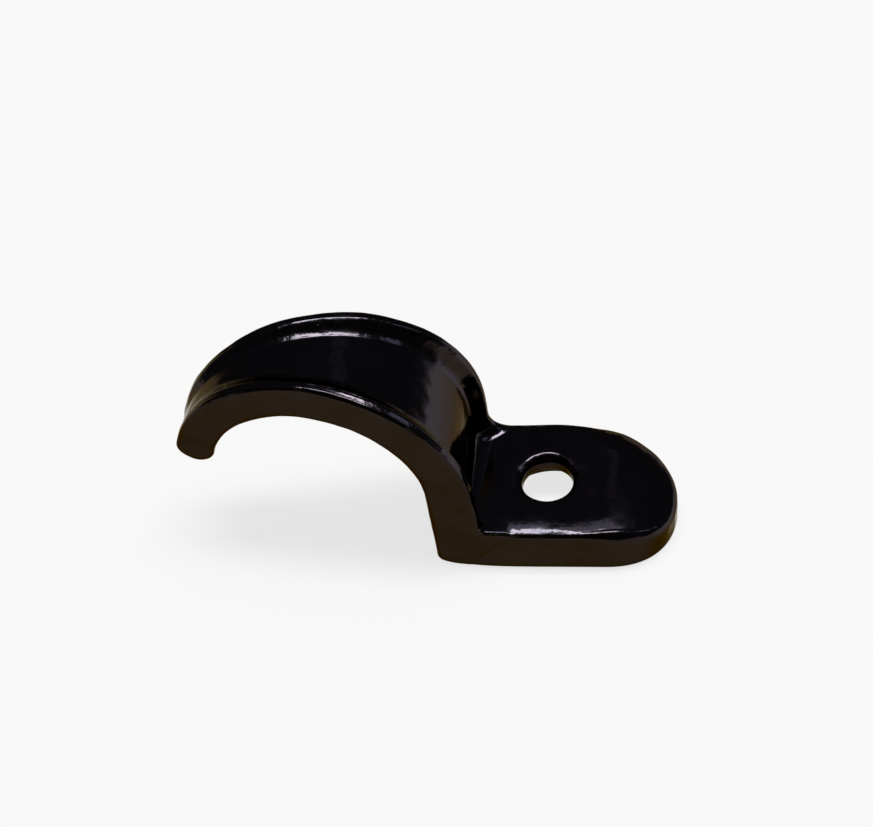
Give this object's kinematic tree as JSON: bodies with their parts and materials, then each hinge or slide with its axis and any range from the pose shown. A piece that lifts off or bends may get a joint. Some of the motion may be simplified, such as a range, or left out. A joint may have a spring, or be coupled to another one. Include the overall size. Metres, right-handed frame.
{
  "type": "pipe clip",
  "caption": "Cast pipe clip: a hook with a channelled outer face, tapering to its free tip, that holds a pipe to a wall, on a round-ended foot with a screw hole.",
  "frame": {"origin": "on the pipe's axis, at the middle of the clip's width", "axes": "+X from the pipe towards the screw foot, +Y along the pipe, +Z away from the wall"},
  "size_m": [0.0612, 0.0184, 0.0316],
  "materials": {
    "black_enamel": "gloss black enamel, dipped over cast iron"
  },
  "bodies": {
    "root": {"pipe_clip": "black_enamel"}
  },
  "joints": []
}
